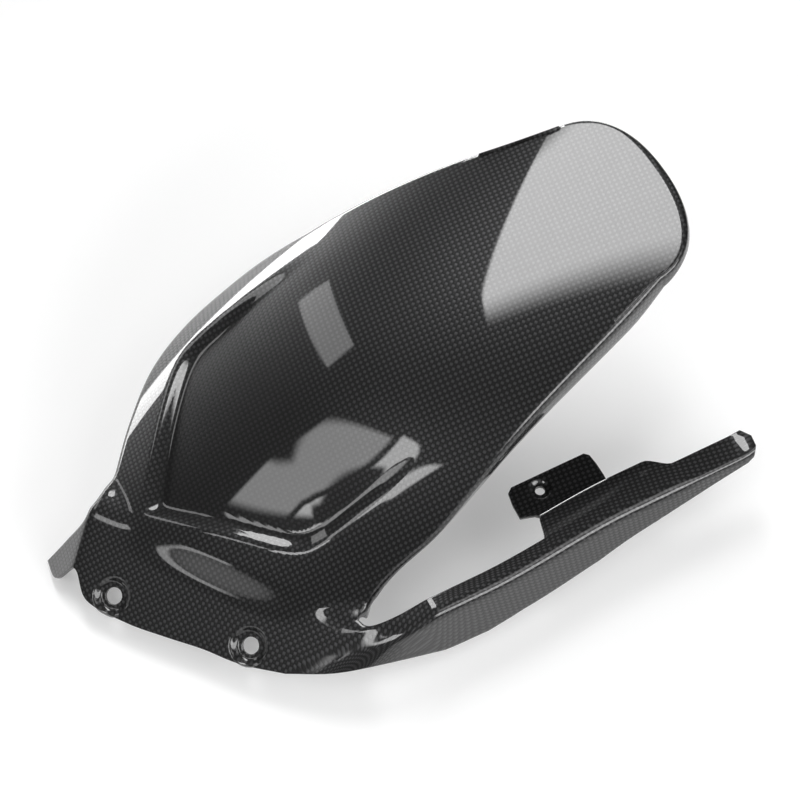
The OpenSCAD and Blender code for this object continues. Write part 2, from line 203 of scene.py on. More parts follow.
@dataclass(frozen=True)
class FenderForm:
    """The arched fender with its recessed panel and front ear."""

    flange: FlangeForm = field(default_factory=FlangeForm)
    length: float = 408.0
    half_width: float = 102.0
    tail_half_width: float = 55.5
    tail_round: float = 35.0
    tail_bend: float = 2.5
    front_corner: float = -26.0
    side_shift: float = 2.5
    crown_radius: float = 476.0
    crest: float = 216.0
    flat_start: float = 260.0
    tail_flatness: float = 3.5
    droop_from: float = 40.0
    droop: float = 0.0016
    widest_at: float = 168.0
    drawn_tail: float = 346.0
    rear_knots: tuple[float, ...] = (197, 229, 259, 293, 321)
    tail_squareness: float = 2.25
    arch_radius: float = 167.0
    chain_arch_radius: float = 135.0
    tail_arch_radius: float = 520.0
    chain_flattens: tuple[float, float] = (120.0, 262.0)
    far_flattens: tuple[float, float] = (200.0, 182.0)
    steepest: float = 0.93
    wall_slope: float = 2.5
    ramp_from: float = 10.0
    ramp_curve: float = 0.02
    ramp_round: float = 3.0
    recess_depth: float = 6.5
    recess_border: float = 11.0
    recess_point: float = 36.0
    recess_taper: float = 65.0
    recess_half_width: float = 78.0
    recess_shift: float = -2.0
    recess_corner: float = 9.0
    recess_nose: float = 3.0
    recess_nose_back: float = 1.0
    recess_fade: tuple[float, float] = (125.0, 75.0)
    ear_at: tuple[float, float] = (-9.3, -5.4)
    ear_way: tuple[float, float] = (-0.586, -0.81)
    ear_slope: float = 0.9
    ear_round: float = 2.0
    ear_fade: tuple[float, float] = (40.0, 25.0)
    root_share: float = 8.0 / 48.0

    @property
    def tail_start(self) -> float:
        """Where the tail starts to round off."""
        return self.front_corner + self.length - self.tail_bend - self.tail_round

    def crown(self, l: Array) -> Array:
        """Height of the fender's middle line.

        Args:
            l: Places along the fender.

        Returns:
            The heights, with the crest at 0.
        """
        a = np.minimum(l, self.flat_start) - self.crest
        b = np.maximum(l - self.flat_start, 0.0)
        f = np.maximum(self.droop_from - l, 0.0)
        r = self.crown_radius
        rear = b * (self.flat_start - self.crest) / r + b * b / (2 * self.tail_flatness * r)
        return -a * a / (2 * r) - rear - self.droop * f * f

    def arch(self, l: Array, w: Array) -> Array:
        """Drop of the cross section below the middle line, a little tighter on the chain side.

        Args:
            l: Places along the fender.
            w: Places across it.

        Returns:
            How far the section has dropped there.
        """
        tail = 1 / self.tail_arch_radius
        (near_from, near_run), (far_from, far_run) = self.chain_flattens, self.far_flattens
        near = lerp(1 / self.chain_arch_radius, tail, np.clip((l - near_from) / near_run, 0, 1))
        far = lerp(1 / self.arch_radius, tail, np.clip((l - far_from) / far_run, 0, 1))
        k = np.where(w > 0, near, far)
        s = np.minimum(k * np.abs(w), self.steepest)
        return (1 - np.sqrt(1 - s * s)) / k + (k * np.abs(w) - s) * self.wall_slope / k

    def recess(self, l: Array, w: Array) -> Array:
        """Depth of the recessed panel, which fades out rearward.

        Args:
            l: Places along the fender.
            w: Places across it.

        Returns:
            The depth below the face round the panel.
        """
        a = np.hypot(w - self.recess_shift, self.recess_nose) - self.recess_nose_back
        s = self.recess_half_width / self.recess_taper
        d = ((l - self.recess_point) * s - a) / math.hypot(1.0, s)
        e = self.recess_half_width - a
        d = (d + e - np.hypot(d - e, self.recess_corner)) / 2
        fade_from, fade_run = self.recess_fade
        return self.recess_depth * ease(d / self.recess_border) * (1 - ease((l - fade_from) / fade_run))

    def ear_drop(self, l: Array, w: Array) -> Array:
        """Drop of the front ear past its fold.

        Args:
            l: Places along the fender.
            w: Places across it.

        Returns:
            The drop, which is 0 behind the fold.
        """
        way = unit(np.array(self.ear_way))
        past = (l - self.ear_at[0]) * way[0] + (w - self.ear_at[1]) * way[1]
        start, run = self.ear_fade
        return self.ear_slope * positive(past, self.ear_round) * ease((start - l) / run)

    def height(self, l: Array, w: Array) -> Array:
        """Height of the top face over the working plane.

        Args:
            l: Places along the fender.
            w: Places across it.

        Returns:
            The heights of the face.
        """
        f = self.flange.height(l, w)
        d = self.flange.past_fold(l, w)
        low = f - self.ramp_curve * np.maximum(d - self.ramp_from, 0) ** 2
        top = low + positive(self.crown(l) - self.arch(l, w) - low, self.ramp_round)
        blend = ease(d / self.flange.fold_run)
        return lerp(f, top, blend) - self.recess(l, w) - self.ear_drop(l, w)

    def normal(self, l: Array, w: Array) -> Array:
        """Outward normals of the top face.

        Args:
            l: Places along the fender.
            w: Places across it.

        Returns:
            One direction of length one for each place.
        """
        step = 0.4
        along = self.height(l - step, w) - self.height(l + step, w)
        across = self.height(l, w - step) - self.height(l, w + step)
        return unit(np.stack([along, across, np.full_like(l, 2 * step)], -1))

    def lift(self, plan: Array) -> Array:
        """Points of the top face over points of the working plane."""
        return np.concatenate([plan, self.height(plan[..., 0], plan[..., 1])[..., None]], -1)

    def side(self, share: float) -> float:
        """Half width between that of the tail and the widest place."""
        return lerp(self.tail_half_width, self.half_width, share)

    def rearward(self, l: float) -> float:
        """A place behind the widest section, stretched with the fender's length."""
        stretch = (self.tail_start - self.widest_at) / (self.drawn_tail - self.widest_at)
        return self.tail_start - (self.drawn_tail - l) * stretch

    def far_edge(self, t: Array) -> Array:
        """The edge away from the chain, from the ear to the tail.

        Args:
            t: Shares of the edge, from the front.

        Returns:
            Points of the working plane.
        """
        w = self.half_width
        far = [self.side_shift - self.side(g) for g in (1, 0.9, 0.72, 0.55, 0.34, 0.15, 0)]
        knots = [[-26, -28], [-9, -23.5], [8, -20], [27, -26.5], [56, -0.56 * w], [84, -0.815 * w]]
        knots += [[112, -0.935 * w], [140, -0.97 * w], [self.widest_at, far[0]]]
        knots += [[self.rearward(l), f] for l, f in zip(self.rear_knots, far[1:6])]
        return spline(np.array(knots + [[self.tail_start, far[6]]]), t)

    def near_edge(self, t: Array) -> Array:
        """The edge beside the chain guard, from the gap's root to the tail.

        Args:
            t: Shares of the edge, from the root.

        Returns:
            Points of the working plane.
        """
        near = [self.side(g) + self.side_shift * (1 - g) for g in (0.97, 0.85, 0.68, 0.52, 0.33, 0.16, 0)]
        knots = [[108, 111], [113, 106], [124, 103], [140, 0.995 * self.half_width]]
        knots += [[self.widest_at, near[0]]]
        knots += [[self.rearward(l), n] for l, n in zip(self.rear_knots, near[1:6])]
        return spline(np.array(knots + [[self.tail_start, near[6]]]), t)

    def front_edge(self, t: Array) -> Array:
        """The front edge, from the ear along the flange to the guard's root.

        Args:
            t: Shares of the edge, from the ear.

        Returns:
            Points of the working plane.
        """
        knots = [[-26, -28], [-25.2, -12], [-11.2, -3.3], [-14.7, 14.8], [-2.1, 37.4]]
        knots += [[12.4, 56.1], [26.9, 73.7], [40.4, 92.3], [58.9, 110.9]]
        return spline(np.array(knots), t)

    def tail_edge(self, t: Array) -> Array:
        """The rounded tail, from the far side to the near side.

        Args:
            t: Shares of the edge, from the far side.

        Returns:
            Points of the working plane.
        """
        b = 2 * np.asarray(t) - 1
        power = 2 / self.tail_squareness
        l = self.tail_start + self.tail_round * np.maximum(np.cos(np.pi / 2 * b), 0) ** power
        w = self.side_shift + np.sign(b) * self.tail_half_width * np.abs(np.sin(np.pi / 2 * b)) ** power
        return np.stack([l, w], -1)

    def plan(self, a: Array, b: Array, root: Callable[[Array], Array]) -> Array:
        """Points of the working plane that fill the fender's outline.

        Args:
            a: Shares of the way rearward.
            b: Shares of the way to the chain side, the same shape as a.
            root: The line that the chain guard grows from, by its share.

        Returns:
            The points, blended from the four edges.
        """

        def near(x: Array) -> Array:
            """The near edge with the guard's root line in front of it.

            Args:
                x: Shares of the way rearward.

            Returns:
                Points of the working plane.
            """
            s = self.root_share
            behind = self.near_edge(np.clip((x - s) / (1 - s), 0, 1))
            return np.where((x < s)[..., None], root(np.clip(x / s, 0, 1)), behind)

        zero, one = np.zeros_like(a), np.ones_like(a)
        a1, b1 = a[..., None], b[..., None]
        sides = lerp(self.far_edge(a), near(a), b1)
        ends = lerp(self.front_edge(b), self.tail_edge(b), a1)
        front = lerp(self.far_edge(zero), near(zero), b1)
        back = lerp(self.far_edge(one), near(one), b1)
        return sides + ends - lerp(front, back, a1)


@dataclass(frozen=True)
class GuardForm:
    """The chain guard: a top face, a rounded ridge, a deep outer face and the stepped screw tab."""

    flange: FlangeForm = field(default_factory=FlangeForm)
    pitch: float = MOUNTED_PITCH
    ridge_offset: float = 134.0
    length: float = 231.0
    length_from: float = 106.0
    start_height: float = -61.0
    skirt_depth: float = 37.0
    skirt_lean: float = 10.0
    start: float = 146.0
    notch: float = 216.5
    shoulder: float = 292.0
    narrow: float = 11.5
    wide: float = 25.0
    tip_width: float = 16.3
    toe_in: float = 6.0
    toe_in_over: tuple[float, float] = (175.0, 90.0)
    notch_run: float = 5.0
    shoulder_run: float = 14.0
    low_sweep: float = 8.0
    low_sweep_run: float = 25.0
    ridge_round: float = 6.0
    tip_ridge_round: float = 3.5
    round_run: float = 20.0
    across: tuple[float, float, float] = (2.0, 5.0, 8.0)
    tip_reach: tuple[float, ...] = (3.5, 7, 6, 4.5, 3, 1.5, 0, -1.5, -2.5)
    tip_run: float = 4.0
    root_rows: int = 30
    tab_width: float = 22.5
    tab_length: float = 41.5
    tab_step: float = 5.0
    tab_hole_in: tuple[float, float] = (7.9, 8.4)
    gap_root: tuple[float, float] = (108.0, 111.0)

    @property
    def tip(self) -> float:
        """Where the guard ends."""
        return self.length_from + self.length

    @property
    def tab_from(self) -> float:
        """Where the tab leaves the guard's inner edge."""
        return self.notch + self.notch_run

    @property
    def tab_w(self) -> float:
        """Place of the tab's inner edge."""
        return self.ridge_offset - self.toe_in - self.wide - self.tab_width

    def height(self, l: Array) -> Array:
        """Height of the top face."""
        return self.start_height - math.tan(math.radians(self.pitch)) * (l - self.start)

    def ridge_w(self, l: Array) -> Array:
        """Place of the ridge across.

        Args:
            l: Places along the guard.

        Returns:
            The ridge's places across.
        """
        start, run = self.toe_in_over
        return self.ridge_offset - self.toe_in * ease((l - start) / run)

    def top_w(self, l: Array) -> Array:
        """Width of the top face.

        Args:
            l: Places along the guard.

        Returns:
            The widths.
        """
        front = lerp(self.narrow, self.wide, ease((l - self.notch) / self.notch_run))
        past = l - self.shoulder + self.shoulder_run / 2
        return lerp(front, self.tip_width, ease(past / self.shoulder_run))

    def skirt(self, l: Array) -> Array:
        """Depth of the outer face.

        Args:
            l: Places along the guard.

        Returns:
            The depths from the ridge down.
        """
        at = [146, 165, 185, 210, 236, 275, 314, 345]
        share = [0.84, 0.925, 0.83, 0.78, 0.72, 0.5, 0.265, 0.1]
        return self.skirt_depth * np.interp(l, at, share)

    def rails(self, l: Array) -> tuple[Array, Array, Array]:
        """Inner edge, ridge and lower edge at places along the guard.

        Args:
            l: Places along the guard.

        Returns:
            The three lines, each with one point for each place.
        """
        lean_out, lean_down = sin_cos(self.skirt_lean)
        h, r, s = self.height(l), self.ridge_w(l), self.skirt(l)
        low_l = l - self.low_sweep * (1 - ease((l - self.start) / self.low_sweep_run))
        return (
            np.stack([l, r - self.top_w(l), h], -1),
            np.stack([l, r, h], -1),
            np.stack([low_l, r + s * lean_out, h - s * lean_down], -1),
        )

    def root_rails(self, t: Array) -> tuple[Array, Array, Array]:
        """The same three lines from the fender's edge to the start of the guard.

        Args:
            t: Shares of the way to the guard's start.

        Returns:
            The three lines, each with one point for each share.
        """
        a, r, b = (x[0] for x in self.rails(np.array([self.start])))
        on = self.flange.on
        return (
            spline(np.array([on(*self.gap_root), on(112, 118), [127, 121.5, -59.5], a]), t),
            spline(np.array([on(80, 112), on(103, 125), on(126, 133), r]), t),
            spline(np.array([on(58.9, 110.9), on(82, 126.5), [107, 136, -71], b]), t),
        )

    def section(self, a: Array, r: Array, b: Array, u: Array) -> Array:
        """Points across sections of the guard.

        Args:
            a: Inner edge points, one a section.
            r: Ridge points.
            b: Lower edge points.
            u: Places across, from 0 at the inner edge to the last of across at the lower edge.

        Returns:
            An array of sections by places by coordinates.
        """
        a, r, b = a[:, None], r[:, None], b[:, None]
        tipward = ease((r[..., :1] - self.shoulder) / self.round_run)
        bend = lerp(self.ridge_round, self.tip_ridge_round, tipward)
        p = r + unit(a - r) * bend
        q = r + unit(b - r) * bend
        x = u[None, :, None]
        first, last, end = self.across
        f = np.clip((x - first) / (last - first), 0, 1)
        corner = lerp(lerp(p, r, f), lerp(r, q, f), f)
        face = lerp(a, p, np.clip(x / first, 0, 1))
        skirt = lerp(q, b, np.clip((x - last) / (end - last), 0, 1))
        return np.where(x <= first, face, np.where(x <= last, corner, skirt))

    def stations(self, fine: float) -> tuple[Array, Array]:
        """Places along the guard for its sections, and those beside the tab.

        Args:
            fine: The greatest distance between two sections.

        Returns:
            The places behind the guard's start, and the first and last index of the tab.
        """
        marks = [self.start, self.notch - 3, self.notch, self.notch + 2.5, self.tab_from,
                 self.tab_from + self.tab_length, 282, 289, 296, 303, self.tip - self.tip_run, self.tip]
        beside_tab = marks.index(self.tab_from)
        out, tab = [], [0, 0]
        for k, (lo, hi) in enumerate(zip(marks[:-1], marks[1:])):
            steps = max(int(math.ceil((hi - lo) / fine)), 2)
            new = [lo + (hi - lo) * (i + 1) / steps for i in range(steps)]
            if k == beside_tab:
                tab = [len(out), len(out) + steps]
            out += new
        return np.array(out), np.array(tab)

    def tab_hole(self) -> Array:
        """Centre of the tab's screw hole on its top face."""
        l, w = self.tab_from + self.tab_hole_in[0], self.tab_w + self.tab_hole_in[1]
        return np.array([l, w, float(self.height(np.array(l))) - self.tab_step])

    def tab_normal(self) -> Array:
        """The outward normal of the tab and of the guard's top face."""
        return unit(np.array([math.tan(math.radians(self.pitch)), 0.0, 1.0]))


@dataclass(frozen=True)
class RolledEdge:
    """The edge that rolls down round the fender's sides and tail."""

    bend: float = 5.0
    tail_bend: float = 2.5
    depth: float = 10.0
    tail_depth: float = 3.5
    least_share: float = 0.12
    grow_rows: tuple[float, float] = (9.0, 7.0)
    turn: float = 80.0
    arc_steps: int = 6
    fall_steps: int = 3

    def share(self, place: Array) -> Array:
        """Share of the full size at places along the edge, small at its two ends.

        Args:
            place: Places along the edge, in grid rows from its front end.

        Returns:
            The share at each place.
        """
        front, root = self.grow_rows
        return lerp(self.least_share, 1.0, ease(place / front) * ease((place[-1] - place) / root))

    def rings(self, points: Array, normals: Array, size: Array,
              off_tail: Array) -> tuple[Array, Array, Array]:
        """Points of the rolled edge outside a line of edge points.

        Args:
            points: The line, in order.
            normals: The face's normal at each point.
            size: Share of the full size at each point.
            off_tail: 0 on the tail and 1 along the sides.

        Returns:
            The points by line place and ring, the distance of each ring from the line along the
            skin, and the outward directions.
        """
        along = np.gradient(points, axis=0)
        out = unit(np.cross(along, normals))
        r = (lerp(self.tail_bend, self.bend, off_tail) * size)[:, None, None]
        h = (lerp(self.tail_depth, self.depth, off_tail) * size)[:, None, None]
        turn = math.radians(self.turn)
        a = np.append(np.linspace(0, turn, self.arc_steps + 1), np.full(self.fall_steps, turn))
        f = np.append(np.zeros(self.arc_steps), np.linspace(0, 1, self.fall_steps + 1))
        a, f = a[None, :, None], f[None, :, None]
        o, n, p = out[:, None], normals[:, None], points[:, None]
        rings = p + r * np.sin(a) * o - r * (1 - np.cos(a)) * n
        rings = rings + h * f * (math.cos(turn) * o - math.sin(turn) * n)
        run = (r * a + h * f)[..., 0]
        return rings, run, out


@dataclass(frozen=True)
class ScrewSeat:
    """A dished seat with its screw hole."""

    centre: Array
    axis: Array
    hole_r: float
    dish_r: float
    depth: float
    floor_share: float = 0.36
    lip: float = 0.6
    reach: float = 6.0

    def radii(self, p: Array) -> tuple[Array, Array]:
        """Distance of points from the seat's axis, and their place along it.

        Args:
            p: The points.

        Returns:
            The distances from the axis and the places along it.
        """
        d = p - self.centre
        along = d @ self.axis
        return np.linalg.norm(d - along[..., None] * self.axis, axis=-1), along

    def press(self, p: Array) -> Array:
        """Points of a flat face after the dish is pressed into it.

        Args:
            p: The points.

        Returns:
            The points, moved in along the seat's axis.
        """
        r, along = self.radii(p)
        floor = lerp(self.hole_r, self.dish_r, self.floor_share)
        depth = self.depth * (1 - ease((r - floor) / (self.dish_r + self.lip - floor)))
        return p - np.where(np.abs(along) < self.reach, depth, 0.0)[..., None] * self.axis

    def faces(self, bm: bmesh.types.BMesh, radius: float) -> list[bmesh.types.BMFace]:
        """Finds the sheet's faces round the seat.

        Args:
            bm: The sheet.
            radius: How far from the seat's axis a face's middle may lie.

        Returns:
            The faces.
        """
        found = []
        for face in bm.faces:
            r, along = self.radii(np.array(face.calc_center_median()))
            if r < radius and abs(along) < self.reach:
                found.append(face)
        return found


@dataclass(frozen=True)
class ClothLay:
    """How the cloth lies on the skin, as distances along two tow directions in millimetres."""

    form: FenderForm
    turn: float = 54.0
    along_span: tuple[float, float] = (-60.0, 400.0)
    across_span: tuple[float, float] = (-130.0, 150.0)

    def table(self) -> tuple[Array, Array, Array, Array]:
        """Distances along the crown and across the arch on a regular lattice.

        Returns:
            The lattice's two sets of places, the distances along and the distances across.
        """
        (l0, l1), (w0, w1) = self.along_span, self.across_span
        ls, ws = np.linspace(l0, l1, 231), np.linspace(w0, w1, 281)
        grid_l, grid_w = np.meshgrid(ls, ws, indexing="ij")
        h = self.form.height(grid_l, grid_w)
        step = np.hypot(np.diff(h, axis=1), np.diff(ws)[None])
        across = np.concatenate([np.zeros((len(ls), 1)), np.cumsum(step, axis=1)], 1)
        across -= across[:, [int(np.argmin(np.abs(ws)))]]
        crown = self.form.crown(ls)
        along = np.concatenate([[0], np.cumsum(np.hypot(np.diff(crown), np.diff(ls)))])
        return ls, ws, along, across

    def flat(self, l: Array, w: Array) -> Array:
        """Distances along the fender and across it, before the cloth is turned.

        Args:
            l: Places along the fender.
            w: Places across it.

        Returns:
            Two distances for each place, from the middle line.
        """
        ls, ws, along, across = self.table()
        u = np.interp(l, ls, along)
        x = np.clip((l - ls[0]) / (ls[1] - ls[0]), 0, len(ls) - 1.001)
        y = np.clip((w - ws[0]) / (ws[1] - ws[0]), 0, len(ws) - 1.001)
        i, j = x.astype(int), y.astype(int)
        f, g = x - i, y - j
        low = lerp(across[i, j], across[i + 1, j], f)
        high = lerp(across[i, j + 1], across[i + 1, j + 1], f)
        return np.stack([u, lerp(low, high, g)], -1)

    def turned(self, uv: Array) -> Array:
        """Distances along the tows."""
        s, c = sin_cos(self.turn)
        return np.stack([uv[..., 0] * c + uv[..., 1] * s, -uv[..., 0] * s + uv[..., 1] * c], -1)


class Face(Enum):
    """The kinds of face on the moulded skin, by material index."""

    OUTER = 0
    INNER = 1
    TRIM = 2


@dataclass
class Laminate:
    """The whole moulded skin as one closed mesh."""

    fender: FenderForm
    guard: GuardForm
    edge: RolledEdge
    frame: FittedFrame
    wall: float = 2.0
    rows: int = 48
    cols: int = 28
    front_rows: int = 12
    fine_front: int = 5
    fine_rows: int = 3
    fine_cols: int = 4
    fine_guard: float = 2.4
    seat_cuts: int = 2
    seat_border: float = 2.0
    flange_hole_r: float = 4.75
    flange_dish_r: float = 11.0
    flange_dish_depth: float = 3.2
    tab_hole_r: float = 2.75
    tab_dish_r: float = 6.2
    tab_dish_depth: float = 1.8
    trim_round: float = 0.2
    trim_soft: float = 0.28

    def __post_init__(self) -> None:
        """Works out the seats, the cloth and the origin."""
        n, t = self.fender.flange.normal(), self.guard.tab_normal()
        self.seats = [
            ScrewSeat(h, n, self.flange_hole_r, self.flange_dish_r, self.flange_dish_depth)
            for h in self.fender.flange.holes()
        ]
        tab = self.guard.tab_hole()
        self.seats.append(ScrewSeat(tab, t, self.tab_hole_r, self.tab_dish_r, self.tab_dish_depth))
        self.origin = self.fender.flange.on(*self.fender.flange.middle) - self.flange_dish_depth * n
        self.cloth = ClothLay(self.fender)
        self.patches: list[tuple[Array, Array]] = []

    def _root_line(self, share: Array) -> Array:
        """The guard's root in the working plane, from its front end to the gap.

        Args:
            share: Shares of the root, from its front end.

        Returns:
            Points of the working plane.
        """
        a, r, b = self.guard.root_rails(np.array([0.0]))
        u = (1 - np.asarray(share)) * self.guard.across[-1]
        flat = self.guard.section(a, r, b, u.reshape(-1))[0][:, :2]
        return flat.reshape(u.shape + (2,))

    def _row_shares(self) -> Array:
        """Shares of the way rearward at the grid's rows, closer together at the front.

        Returns:
            The shares, from 0 to 1.
        """
        out = [0.0]
        for i in range(self.rows):
            n = self.fine_front if i < self.front_rows else self.fine_rows
            out += [(i + (k + 1) / n) / self.rows for k in range(n)]
        return np.array(out)

    def _fender_patch(self) -> None:
        """The fender's face and its rolled edge."""
        a = self._row_shares()
        b = np.linspace(0, 1, self.cols * self.fine_cols + 1)
        ga, gb = np.meshgrid(a, b, indexing="ij")
        plan = self.fender.plan(ga, gb, self._root_line)
        self.patches.append((self.fender.lift(plan), self.cloth.flat(plan[..., 0], plan[..., 1])))
        first = int(np.searchsorted(a, self.fender.root_share - 1e-9))
        line = np.concatenate([plan[:, 0], plan[-1, 1:], plan[-2:first - 1:-1, -1]])
        place = np.concatenate([a * self.rows, self.rows + b[1:] * self.cols,
                                self.rows + self.cols + (1 - a[-2:first - 1:-1]) * self.rows])
        tail = ease((np.abs(place - self.rows - self.cols / 2) - 0.35 * self.cols) / (self.cols / 3))
        points = self.fender.lift(line)
        normals = self.fender.normal(line[:, 0], line[:, 1])
        rings, run, out = self.edge.rings(points, normals, self.edge.share(place), tail)
        uv = self.cloth.flat(line[:, 0], line[:, 1])[:, None] + run[..., None] * unit(out[:, None, :2])
        self.patches.append((rings[::-1], uv[::-1]))

    def _guard_patch(self) -> None:
        """The chain guard and its tab."""
        g = self.guard
        shares = self._row_shares()
        shares = shares[shares <= self.fender.root_share + 1e-9] / self.fender.root_share
        u = (1 - shares[::-1]) * self.guard.across[-1]
        t = np.linspace(0, 1, g.root_rows + 1)
        l, tab = g.stations(self.fine_guard)
        root, rest = g.root_rails(t), g.rails(l)
        rails = [np.concatenate([x, y]) for x, y in zip(root, rest)]
        body = g.section(*rails, u)
        reach = np.interp(u, range(len(g.tip_reach)), g.tip_reach)
        tip = np.append(np.zeros(len(t)), np.clip((l - g.tip + g.tip_run) / g.tip_run, 0, 1))
        body[..., 0] += tip[:, None] * reach[None]
        seam = self.fender.lift(self._root_line(shares[::-1])) - body[0]
        fade = 1 - ease(np.arange(len(body)) / g.root_rows)
        body += fade[:, None, None] * seam[None]
        flat = [self.cloth.flat(x[:, 0], x[:, 1]) for x in rails]
        depth = np.linalg.norm(rails[2] - rails[1], axis=1)
        from_way = math.atan2(*(flat[2][0] - flat[1][0])[::-1])
        done = ease(np.concatenate([t, np.ones(len(l))]))
        way = lerp(from_way, math.pi / 2, done)
        low = flat[1] + depth[:, None] * np.stack([np.cos(way), np.sin(way)], -1)
        self.patches.append((body, g.section(flat[0], flat[1], low, u)))
        first, last = g.root_rows + tab
        self._tab_patch(body[first:last + 1, 0], flat[0][first:last + 1])

    def _tab_patch(self, inner: Array, inner_uv: Array) -> None:
        """The stepped screw tab.

        Args:
            inner: The guard's inner edge beside the tab.
            inner_uv: The cloth there.
        """
        g = self.guard
        f = np.linspace(0, 1, len(inner))[:, None]
        at = [0.03, 0.04, 0.14, 0.24, 0.6, 0.9, 1.0]
        front = [0, 0, 2.5, 10, 9.5, 8, 5]
        rear = [0, 0, 0, 0.2, 0.3, -0.3, -2.5]
        fine, middle, end = np.linspace(0.04, 0.24, 9), np.linspace(0.24, 0.9, 17), np.linspace(0.9, 1, 5)
        x = np.concatenate([fine, middle[1:], end[1:]])[None]
        l = inner[:, :1] + lerp(-np.interp(x, at, front), np.interp(x, at, rear), f)
        w = lerp(inner[:, 1:2], g.tab_w, x)
        flat = np.stack([l, w, g.height(l) - g.tab_step], -1)
        fall = np.stack([lerp(inner, flat[:, 0], k) for k in (0.0, 0.25, 0.5, 0.75)], 1)
        points = np.concatenate([fall, flat], 1)
        run = np.concatenate([np.zeros((len(inner), 1)),
                              np.cumsum(np.linalg.norm(np.diff(points, axis=1), axis=2), 1)], 1)
        uv = np.stack([inner_uv[:, :1] + (points[..., 0] - inner[:, :1]), inner_uv[:, 1:] - run], -1)
        self.patches.append((points[:, ::-1], uv[:, ::-1]))

    def _sheet(self) -> bmesh.types.BMesh:
        """The outer face as one sheet, with fine faces round the screw seats.

        Returns:
            The sheet, with the cloth's distances on its vertices.
        """
        bm = bmesh.new()
        cloth = bm.verts.layers.float_vector.new(CLOTH_MAP)
        for points, uv in self.patches:
            rows, cols = points.shape[:2]
            verts = [bm.verts.new(p) for p in points.reshape(-1, 3)]
            for v, c in zip(verts, uv.reshape(-1, 2)):
                v[cloth] = (float(c[0]), float(c[1]), 0.0)
            for i in range(rows - 1):
                for j in range(cols - 1):
                    k = i * cols + j
                    bm.faces.new((verts[k], verts[k + cols], verts[k + cols + 1], verts[k + 1]))
        bmesh.ops.remove_doubles(bm, verts=bm.verts, dist=1e-3)
        for seat in self.seats:
            near = {e for f in seat.faces(bm, seat.dish_r + self.seat_border) for e in f.edges}
            bmesh.ops.subdivide_edges(bm, edges=list(near), cuts=self.seat_cuts, use_grid_fill=True)
        return bm

    def _open_holes(self, bm: bmesh.types.BMesh) -> None:
        """Takes the faces inside each screw hole away and rounds the hole's edge.

        Args:
            bm: The sheet.
        """
        for seat in self.seats:
            r_cut = seat.hole_r + self.trim_round
            inside = seat.faces(bm, r_cut)
            rim = {v for f in inside for v in f.verts}
            bmesh.ops.delete(bm, geom=inside, context="FACES")
            for v in rim:
                if v.is_valid and v.link_faces:
                    p = np.array(v.co)
                    d = p - seat.centre
                    flat = d - (d @ seat.axis) * seat.axis
                    v.co = Vector(p + flat * (r_cut / max(np.linalg.norm(flat), 1e-6) - 1))

    def _thicken(self, bm: bmesh.types.BMesh) -> tuple[Array, Array, list[list[int]], list[int]]:
        """Gives the sheet its wall, with a rounded trimmed edge.

        Args:
            bm: The sheet, whose faces all look outward.

        Returns:
            Points, cloth distances, faces and the kind of each face.
        """
        bm.verts.index_update()
        cloth = bm.verts.layers.float_vector[CLOTH_MAP]
        verts = list(bm.verts)
        top = np.array([v.co for v in verts])
        uv = np.array([v[cloth][:2] for v in verts])
        for seat in self.seats:
            top = seat.press(top)
        faces = [[v.index for v in f.verts] for f in bm.faces]
        normals = np.zeros_like(top)
        for f in faces:
            p = top[f]
            n = np.zeros(3)
            for k in range(1, len(f) - 1):
                n += np.cross(p[k] - p[0], p[k + 1] - p[0])
            normals[f] += n
        normals = unit(normals)
        count = len(top)
        points, cloths = [top, top - self.wall * normals], [uv, uv]
        kinds = [Face.OUTER.value] * len(faces) + [Face.INNER.value] * len(faces)
        out_faces = faces + [[i + count for i in reversed(f)] for f in faces]
        ways: dict[int, Array] = {}
        rim = []
        for e in bm.edges:
            if len(e.link_loops) != 1:
                continue
            loop = e.link_loops[0]
            a, b = loop.vert.index, loop.link_loop_next.vert.index
            out = np.cross(top[b] - top[a], normals[a] + normals[b])
            out /= max(np.linalg.norm(out), 1e-9)
            for i in (a, b):
                ways[i] = ways.get(i, np.zeros(3)) + out
            rim.append((a, b))
        order = {i: k for k, i in enumerate(ways)}
        edge = np.array(list(ways))
        out = unit(np.array(list(ways.values())))
        r, w = self.trim_round, self.wall
        soft = self.trim_soft * r
        rings = [(r - soft, soft), (r, r), (r, w - r), (r - soft, w - soft)]
        for side, down in rings:
            points.append(top[edge] + side * out - down * normals[edge])
            cloths.append(uv[edge] + down * unit(out[:, :2]))
        m = len(edge)

        def ring(i: int, k: int) -> int:
            """Index of the rim point of vertex i on ring k, from the outer to the inner face.

            Args:
                i: The rim vertex.
                k: The ring, where 0 is the outer face.

            Returns:
                The point's index in the finished mesh.
            """
            if k == 0:
                return i
            return i + count if k == len(rings) + 1 else 2 * count + (k - 1) * m + order[i]

        for a, b in rim:
            for k in range(len(rings) + 1):
                out_faces.append([ring(b, k), ring(a, k), ring(a, k + 1), ring(b, k + 1)])
                kinds.append(Face.TRIM.value)
        return np.vstack(points), np.vstack(cloths), out_faces, kinds

